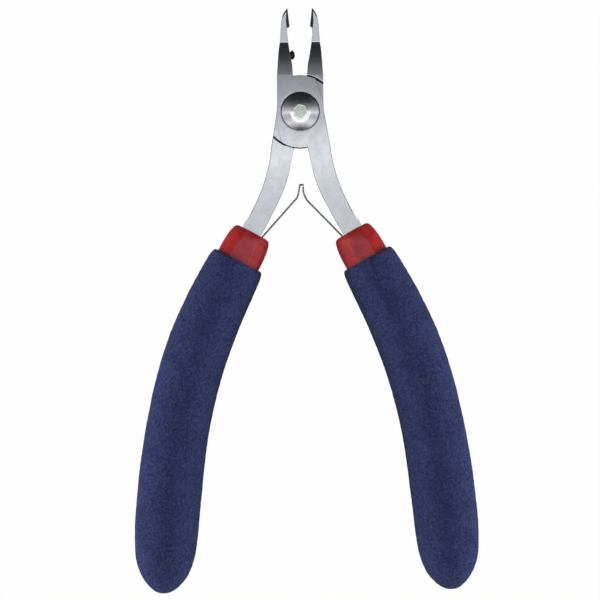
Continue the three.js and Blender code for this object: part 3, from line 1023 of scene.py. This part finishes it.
@dataclass
class Pivot:
    """Domed screw with a hex socket, its washer and the flush nut behind."""

    finish: Material
    shank: float = 2.6 * MM
    shank_end: float = 0.5 * MM
    head_base: float = 6.5 * MM
    head_radius: float = 4.8 * MM
    head_rim: float = 0.3 * MM
    head_top: float = 8.6 * MM
    socket_across: float = 3.1 * MM
    socket_depth: float = 1.7 * MM
    socket_turn: float = 12.0
    washer: Band = (2.9 * MM, 5.05 * MM, 6.05 * MM, 6.4 * MM)
    nut_radius: float = 4.2 * MM
    nut_thickness: float = 1.1 * MM
    spanner_hole: Pair = (0.45 * MM, 3.4 * MM)

    def dome(self, steps: int = 14) -> list[Ring]:
        """Rings up the head's dome, from its rim to close to the top.

        Args:
            steps: how many rings the dome has.

        Returns:
            The rings, widest first.
        """
        shoulder = self.head_base + self.head_rim
        rise = self.head_top - shoulder
        radius = (self.head_radius**2 + rise**2) / (2 * rise)
        span = math.asin(self.head_radius / radius)
        angles = [span * (1 - i / steps) for i in range(steps)]
        return turned([(radius * math.sin(a), self.head_top - radius * (1 - math.cos(a))) for a in angles])

    def screw(self) -> Piece:
        """Turns the screw and cuts its socket.

        Returns:
            The screw.
        """
        s, h = self.shank, self.head_radius
        rings = turned((
            (s * 0.9, self.shank_end), (s, self.shank_end + 0.2 * MM), (s, self.head_base),
            (h * 0.97, self.head_base), (h, self.head_base + 0.1 * MM)))
        piece = Bench.stack("pivot_screw_turned", [*rings, *self.dome()], closing=Closing.POLES, sides=96)
        Bench.drill(piece, 6, self.socket_across / math.sqrt(3), 2 * self.socket_depth, self.head_top,
                    turn=self.socket_turn)
        Bench.edit(piece, "EDGE")
        reach = self.socket_across * 0.6
        Bench.select_edges(piece, lambda a, b: self.on_socket_rim(a, reach) and self.on_socket_rim(b, reach))
        bpy.ops.mesh.bevel(offset=0.09 * MM, segments=3, clamp_overlap=True)
        bpy.ops.object.mode_set(mode="OBJECT")
        Bench.smooth(piece, 35.0)
        return piece

    def on_socket_rim(self, point: Vector, reach: float) -> bool:
        """Whether a point is where the socket's walls meet the dome."""
        return point.xy.length < reach and point.z > self.head_top - 0.5 * self.socket_depth

    def washer_ring(self) -> Piece:
        """Turns the thin washer, with its upper rim rounded.

        Returns:
            The washer.
        """
        inner, outer, low, high = self.washer
        ease = 0.1 * MM
        rings = turned((
            (inner, low), (outer - ease, low), (outer, low + ease),
            (outer, high - ease), (outer - ease, high), (inner, high)))
        piece = Bench.stack("pivot_washer_turned", rings, closing=Closing.JOINED, sides=96)
        Bench.smooth(piece, 50.0)
        return piece

    def nut(self) -> Piece:
        """Turns the flush nut, with its blind bore and two spanner holes.

        Returns:
            The nut.
        """
        r, high = self.nut_radius, self.nut_thickness
        bore, floor, ease, middle = 2.75 * MM, 0.4 * MM, 0.15 * MM, 0.05
        rings = turned((
            (r * middle, 0.0), (r - ease, 0.0), (r, ease), (r, high),
            (bore, high), (bore, floor), (bore * middle, floor)))
        piece = Bench.stack("pivot_lock_nut_turned", rings, closing=Closing.POLES, sides=96)
        hole, offset = self.spanner_hole
        for side in (-1.0, 1.0):
            Bench.drill(piece, 24, hole, 1.1 * MM, across=side * offset)
        Bench.smooth(piece, 35.0)
        return piece

    def build(self) -> None:
        """Makes the screw, washer and nut, which turn with the rear half."""
        for piece, node in (
            (self.screw(), "pivot_screw"),
            (self.washer_ring(), "pivot_washer"),
            (self.nut(), "pivot_lock_nut"),
        ):
            mount(piece, "rear_half_body", node, "pivot_steel", self.finish)


# --- stop screw ---


@dataclass
class StopScrew:
    """The small black screw through the left jaw, with its domed end in the gap."""

    finish: Material
    outer_end: Vector = field(default_factory=lambda: Vector((-5.2, 14.7, 2.7)) * MM)
    length: float = 4.05 * MM
    crown: float = 0.95 * MM
    dome: float = 1.25 * MM
    shank: float = 0.9 * MM
    key: float = 0.5 * MM

    def build(self) -> None:
        """Turns the screw upright, cuts its key, then lays it along X in the jaw."""
        seat, steps = self.length - self.crown, 9
        profile = [(self.shank * 0.85, 0.0), (self.shank, 0.15 * MM), (self.shank, seat)]
        profile.append((self.dome * 0.96, seat))
        for angle in (math.pi / 2 * (i / steps) for i in range(steps)):
            profile.append((self.dome * math.cos(angle), self.length - self.crown * (1 - math.sin(angle))))
        piece = Bench.stack("stop_screw_turned", turned(profile), closing=Closing.POLES, sides=48)
        Bench.drill(piece, 6, self.key, 2 * MM)
        piece.rotation_euler = (0.0, math.pi / 2, 0.0)
        piece.location = self.outer_end
        Bench.settle(piece)
        Bench.smooth(piece, 40.0)
        mount(piece, "front_half_body", "stop_screw", "black_steel", self.finish)


# --- leaf springs ---


@dataclass
class LeafSprings:
    """Two thin leaves that meet in the middle, the left one's tip hooked over the right one's."""

    finish: Material
    handle: HandleLine
    thickness: float = 0.42 * MM
    width: float = 3.2 * MM
    low: float = 1.55 * MM
    depth: float = 2.46 * MM
    buried: tuple[float, ...] = (12.0, 9.0, 6.0, 3.0, 0.72)
    free_from: Pair = (5.2 * MM, -26.3 * MM)
    right_bend: Points = ((1.35, -22.7), (0.8, -21.6), (0.45, -20.4), (0.42, -19.25))
    left_bend: Points = (
        (1.2, -22.1), (0.75, -20.9), (0.5, -19.2), (0.42, -18.75), (-0.62, -18.75))

    def root(self) -> list[Vector]:
        """Points of the leaf's middle on the tang, from its buried end to the sleeve's mouth.

        Returns:
            The points, from the buried end on.
        """
        points = []
        for along in self.buried:
            part = self.handle.parameter(along * MM)
            here = self.handle.at(part)
            ahead = (self.handle.at(part + 0.001) - here).normalized()
            outwards = Vector((-ahead.y, ahead.x, 0.0))
            points.append(here - outwards * self.depth)
        return points

    def strip(self, name: str, bend: Sequence[Pair]) -> Piece:
        """Draws a leaf's line from point to point, rounds its corners and gives it width and thickness.

        Args:
            name: the piece's name.
            bend: the points past the sleeve's mouth, in millimetres, on the right side.

        Returns:
            The leaf on the right side.
        """
        line = [*self.root(), *(Vector((x * MM, y * MM, 0.0)) for x, y in bend)]
        line = [Vector((point.x, point.y, self.low)) for point in line]
        bpy.ops.object.select_all(action="DESELECT")
        bpy.ops.mesh.primitive_plane_add(size=1 * MM)
        bpy.ops.object.mode_set(mode="EDIT")
        bpy.ops.mesh.merge(type="CENTER")
        bpy.ops.transform.translate(value=line[0])
        for before, after in zip(line, line[1:]):
            bpy.ops.mesh.extrude_region_move(TRANSFORM_OT_translate={"value": after - before})
        piece = bpy.context.object
        corners = line[4:-1]
        Bench.select_points(piece, lambda p: any((p - corner).length < 0.01 * MM for corner in corners))
        bpy.ops.mesh.bevel(offset=0.16 * MM, segments=4, affect="VERTICES")
        for _ in range(4):
            bpy.ops.mesh.select_all(action="DESELECT")
            bpy.ops.mesh.select_mode(type="EDGE")
            if Bench.select_edges(piece, lambda a, b: (a - b).length > 1.0 * MM):
                bpy.ops.mesh.subdivide(number_cuts=1)
        bpy.ops.mesh.select_mode(type="VERT")
        bpy.ops.mesh.select_all(action="SELECT")
        bpy.ops.mesh.extrude_region_move(TRANSFORM_OT_translate={"value": (0.0, 0.0, self.width)})
        piece = Bench.close(name)
        Bench.face_outwards(piece)
        Bench.modifier(piece, "SOLIDIFY", thickness=self.thickness, offset=0.0)
        Bench.modifier(piece, "BEVEL", width=0.07 * MM, segments=2, limit_method="ANGLE",
                       angle_limit=math.radians(50))
        Bench.smooth(piece, 40.0)
        return piece

    def build(self) -> None:
        """Makes both leaves in place of the frame's, and gives the frame's spring rivets the spring finish.
        """
        right = self.strip("right_leaf", self.right_bend)
        left = Bench.mirrored(self.strip("left_leaf_blank", self.left_bend), "left_leaf")
        bpy.data.objects.remove(bpy.data.objects["left_leaf_blank"], do_unlink=True)
        Bench.smooth(left, 40.0)
        mouth = self.root()[-1]
        for piece, side, flip, arm in (
            (right, "right", 1.0, "front_half_body"), (left, "left", -1.0, "rear_half_body")
        ):
            piece.data.materials.append(self.finish)
            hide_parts(f"{side}_leaf_spring")
            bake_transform(piece)
            log.info("%s: %d faces", piece.name, len(piece.data.polygons))
        for side in ("left", "right"):
            for number in (1, 2):
                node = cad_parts[f"{side}_spring_rivet_{number}"]
                node.data.materials.clear()
                node.data.materials.append(self.finish)


# --- sleeves and grips ---


@dataclass
class Grips:
    """A vinyl sleeve and a foam grip on each handle."""

    vinyl: Material
    foam: Material
    handle: HandleLine
    sleeve_radius: float = 5.7 * MM
    sleeve_flatness: float = 0.82
    sleeve_length: float = 84.0 * MM
    foam_radius: float = 8.28 * MM
    foam_flatness: float = 0.93
    foam_start: float = 8.0 * MM

    def sleeve_rim(self) -> list[Pair]:
        """The sleeve's outside near its mouth, as half width and distance from the mouth."""
        points = ((4.15, 0.0), (4.65, 0.22), (5.02, 0.85), (5.3, 1.9), (5.55, 3.4), (5.7, 5.5))
        return [(width * MM, along * MM) for width, along in points]

    def sleeve(self) -> Piece:
        """Draws the right sleeve straight, from its round end over the mouth to its inside, and bends it.

        Returns:
            The right sleeve.
        """
        swell = 1.023
        flat = self.sleeve_flatness
        outside = [(0.3 * self.sleeve_radius, self.sleeve_length)]
        outside += [(0.75 * self.sleeve_radius, self.sleeve_length - 0.8 * MM)]
        steps = 18
        body_from, body_to = self.sleeve_length - 3.5 * MM, 8.0 * MM
        for i in range(steps + 1):
            outside.append((self.sleeve_radius, body_from + (body_to - body_from) * i / steps))
        outside += reversed(self.sleeve_rim())
        rings = [Ring(r * swell, r * flat * swell, along) for r, along in outside]
        lip = ((3.75, 3.3, -0.12), (3.42, 3.12, 0.25), (3.32, 3.08, 1.2), (3.45, 3.1, 3.0))
        rings += [Ring(w * MM, d * MM, a * MM, 0.25 * MM) for w, d, a in lip]
        inside_to = self.sleeve_length - 4.0 * MM
        for i in range(9):
            along = 6.0 * MM + (inside_to - 6.0 * MM) * i / 8
            rings.append(Ring(3.9 * MM, 3.2 * MM, along, 0.25 * MM))
        rings.append(Ring(1.2 * MM, 1.0 * MM, inside_to + 0.6 * MM, 0.25 * MM))
        piece = Bench.stack("right_sleeve_vinyl", rings, Section.SOFT_SQUARE)
        Bench.subdivision(piece, 3)
        self.handle.bend(piece)
        Bench.smooth(piece, 60.0)
        return piece

    def foam_profile(self) -> list[Ring]:
        """Rings of the foam from its closed end, over the lip and down its inside.

        Returns:
            The rings, in order.
        """
        swell = 1 / 0.9746
        total = self.handle.length()
        end = ((1.2, 0.12), (2.35, 0.75), (3.6, 1.7), (4.85, 3.05), (5.9, 4.65), (6.75, 6.4), (7.36, 8.4),
               (7.8, 10.8), (8.1, 14.0), (8.24, 18.0))
        rings = [(r * MM, total - left * MM) for r, left in end]
        start, stop = self.foam_start + 58.0 * MM, total - 20.0 * MM
        runs = 4
        rings += [(self.foam_radius, stop + (start - stop) * i / runs) for i in range(1, runs + 1)]
        rings += [(8.12 * MM, self.foam_start + along * MM) for along in (50, 45.5, 41, 36.5, 32, 27.5)]
        lip = ((8.08, 23), (8.0, 19), (7.9, 15), (7.78, 11.5), (7.66, 8.0), (7.5, 4.8), (7.36, 2.4),
               (7.15, 1.0), (6.85, 0.3), (6.4, 0.0), (6.0, 0.1))
        rings += [(r * MM, self.foam_start + along * MM) for r, along in lip]
        outer = [Ring(r * swell, r * swell * self.foam_flatness, along) for r, along in rings]
        inner_radius = self.sleeve_radius + 0.2 * MM
        inside = [self.foam_start + 0.9 * MM, self.foam_start + 3.0 * MM]
        inside += [self.foam_start + (6.0 + 11.0 * i) * MM for i in range(7)]
        width, depth = inner_radius * swell, inner_radius * swell * self.sleeve_flatness * 1.03
        inner = [Ring(width, depth, along) for along in inside]
        closed = Ring(2.0 * MM, 1.6 * MM, self.sleeve_length + 0.5 * MM)
        return [*outer, *inner, closed]

    def grip(self) -> Piece:
        """Draws the right foam grip straight, bends it and roughens its skin.

        Returns:
            The right grip.
        """
        piece = Bench.stack("right_grip_foam", self.foam_profile(), sides=16)
        Bench.subdivision(piece, 3)
        self.handle.bend(piece)
        for kind, size, strength in (("cloudy", 6.0 * MM, 0.16 * MM), ("grainy", 1.15 * MM, 0.16 * MM)):
            clouds = bpy.data.textures.new(f"foam_{kind}", "CLOUDS")
            clouds.noise_scale = size
            clouds.noise_depth = 1
            Bench.modifier(piece, "DISPLACE", texture=clouds, strength=strength, mid_level=0.5,
                           texture_coords="LOCAL")
        Bench.smooth(piece, 60.0)
        return piece

    def build(self) -> None:
        """Makes the right handle's sleeve and grip, then their mirrored twins."""
        for right, node, slot, finish in (
            (self.sleeve(), "sleeve", "red_vinyl", self.vinyl),
            (self.grip(), "foam_grip", "blue_foam", self.foam),
        ):
            left = Bench.mirrored(right, right.name.replace("right", "left"))
            Bench.smooth(left, 60.0)
            mount(right, "front_half_body", f"right_{node}", slot, finish)
            mount(left, "rear_half_body", f"left_{node}", slot, finish)


# --- studio ---


@dataclass
class Studio:
    """Pale floor, soft light from above and from the handles' side, and a camera square above the tool."""

    view_width: float = 154.4 * MM
    view_centre: Pair = (-0.81 * MM, -48.37 * MM)
    view_roll: float = -0.0152
    camera_height: float = 0.9
    sensor_width: float = 36.0
    floor_drop: float = 0.4 * MM
    tent: Points = (
        (-1.0, 0.02), (-0.96, 0.05), (-0.9, 0.16), (-0.84, 0.36), (-0.65, 0.66), (-0.35, 0.4), (-0.15, 0.42),
        (-0.04, 0.72), (0.07, 0.52), (0.14, 0.4), (0.2, 0.34), (0.35, 0.17), (0.6, 0.055), (0.78, 0.022),
        (1.0, 0.012))
    tent_tint: Colour = (0.975, 1.0, 1.045)
    tent_strength: float = 1.35
    overhead: Pair = (0.88, 0.98)
    overhead_share: float = 0.5
    band: Band = (0.73, 0.76, 0.80, 0.84)
    band_strength: float = 2.0
    band_side: Pair = (0.05, -0.15)
    card_spans: tuple[Triple, ...] = ((-0.02, 0.003, 0.74), (-0.055, -0.02, 0.38))
    card_width: float = 0.12
    card_height: float = 0.1
    side_box: Triple = (0.6, -0.1, 0.045)
    side_box_size: Pair = (0.6, 0.09)
    side_box_power: float = 3.4
    side_box_aim: Triple = (0.0, -0.05, 0.0)
    paper_white: float = 0.99

    def camera(self) -> None:
        """Hangs the camera over the tool, rolled a little as the tool lies in the view."""
        data = bpy.data.cameras.new("camera")
        camera = bpy.data.objects.new("camera", data)
        bpy.context.collection.objects.link(camera)
        camera.location = (*self.view_centre, self.camera_height)
        camera.rotation_euler = (0.0, 0.0, self.view_roll)
        data.sensor_width = self.sensor_width
        data.lens = self.sensor_width * (self.camera_height - HandleLine().mouth.z) / self.view_width
        bpy.context.scene.camera = camera

    def floor(self) -> None:
        """Lays the floor just under the grips: pale paper, evenly lit from within where the lens sees it."""
        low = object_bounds()[0].z
        bpy.ops.object.select_all(action="DESELECT")
        bpy.ops.mesh.primitive_plane_add(size=4.0, location=(0.0, 0.0, low - self.floor_drop))
        floor = bpy.context.object
        floor.name = "floor"
        board = NodeBoard("floor_paper")
        grain = board.noise(0.4 * MM, 2.0)
        board.link(board.ramp(grain, 0.0, 1.0, 0.36, 0.4), "Base Color")
        board.set(Roughness=0.9, Specular_IOR_Level=0.1)
        glow = board.add("Emission", {"Color": rgba(1.0)}).outputs["Emission"]
        seen = board.add("LightPath").outputs["Is Camera Ray"]
        amount = board.join("MULTIPLY", seen, self.paper_white)
        mix = board.add("MixShader", {"Fac": amount, 1: board.shader.outputs["BSDF"], 2: glow})
        output = board.tree.nodes["Material Output"].inputs["Surface"]
        board.tree.links.new(mix.outputs["Shader"], output)
        floor.data.materials.append(board.material)
        floor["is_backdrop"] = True

    def sky(self) -> None:
        """Wraps the tool in a soft tent, dark past the jaws, with a bright band high behind the handles."""
        world = bpy.data.worlds.new("tent")
        bpy.context.scene.world = world
        world.use_nodes = True
        wires = Wiring(world.node_tree)
        wires.tree.nodes.clear()
        split = wires.add("SeparateXYZ", {"Vector": wires.add("TexCoord").outputs["Generated"]}).outputs
        along = wires.add("MapRange", {"Value": split["Y"], "From Min": -1.0, "From Max": 1.0})
        ramp = wires.add("ValToRGB", {"Fac": along.outputs["Result"]})
        stops = ramp.color_ramp.elements
        stops.remove(stops[1])
        for number, (y, grey) in enumerate(self.tent):
            stop = stops.new((y + 1) / 2) if number else stops[0]
            stop.position = (y + 1) / 2
            stop.color = (*(grey * tint for tint in self.tent_tint), 1.0)
        full_strength, dim_strength = self.tent_strength, self.tent_strength * self.overhead_share
        strength = wires.step(split["Z"], *self.overhead, full_strength, dim_strength)
        low, full, still, high = self.band
        glow = wires.step(split["Z"], low, full, 0.0, self.band_strength)
        for output, start, stop in (("Z", high, still), ("Y", *self.band_side)):
            glow = wires.join("MULTIPLY", glow, wires.step(split[output], start, stop))
        lit = {"Color": ramp.outputs["Color"], "Strength": wires.join("ADD", strength, glow)}
        tent = wires.add("Background", lit).outputs["Background"]
        paper = wires.add("Background", {"Color": rgba(self.paper_white)}).outputs["Background"]
        seen = wires.add("LightPath").outputs["Is Camera Ray"]
        mix = wires.add("MixShader", {"Fac": seen, 1: tent, 2: paper}).outputs["Shader"]
        wires.add("OutputWorld", {"Surface": mix})

    @staticmethod
    def soft_box(name: str, place: Vector, size: Pair, power: float) -> Piece:
        """Hangs one rectangular soft box that faces straight down.

        Args:
            name: the light's name.
            place: where its middle hangs.
            size: its width along X and its depth along Y.
            power: its power in watts.

        Returns:
            The light.
        """
        data = bpy.data.lights.new(name, "AREA")
        data.shape = "RECTANGLE"
        data.size, data.size_y = size
        data.energy = power
        box = bpy.data.objects.new(name, data)
        bpy.context.collection.objects.link(box)
        box.location = place
        return box

    def cards(self) -> None:
        """Hangs small soft boxes close over joint and arms, whose edge shades the joint toward the jaws."""
        for number, (start, end, glow) in enumerate(self.card_spans):
            size = (self.card_width, end - start)
            place = Vector((0.0, (start + end) / 2, self.card_height))
            card = self.soft_box(f"card_{number}", place, size, glow * math.pi * size[0] * size[1])
            card.visible_camera = False

    def side_boxes(self) -> None:
        """Hangs a low soft box on each side, aimed at the tool and kept out of its reflections."""
        across, along, height = self.side_box
        for name, side in (("left_box", -1.0), ("right_box", 1.0)):
            place = Vector((side * across, along, height))
            lamp = self.soft_box(name, place, self.side_box_size, self.side_box_power)
            lamp.visible_glossy = False
            aim = Vector(self.side_box_aim) - place
            lamp.rotation_euler = aim.to_track_quat("-Z", "Y").to_euler()

    def build(self) -> None:
        """Makes the floor, the light and the camera."""
        self.floor()
        self.sky()
        self.cards()
        self.side_boxes()
        self.camera()
        bpy.context.scene.view_settings.view_transform = "Standard"


# --- assembly ---


def main() -> None:
    """Builds the cutter's looks piece by piece, then the studio round it."""
    logging.basicConfig(level=logging.INFO, format="%(name)s %(message)s")
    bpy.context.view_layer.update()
    finishes = Finishes()
    handle = HandleLine()
    SteelHalves(finishes.steel, finishes.shade_paint).build()
    Pivot(finishes.turned).build()
    StopScrew(finishes.black).build()
    LeafSprings(finishes.spring, handle).build()
    Grips(finishes.vinyl, finishes.foam, handle).build()
    Studio().build()


if __name__ == "__main__":
    main()
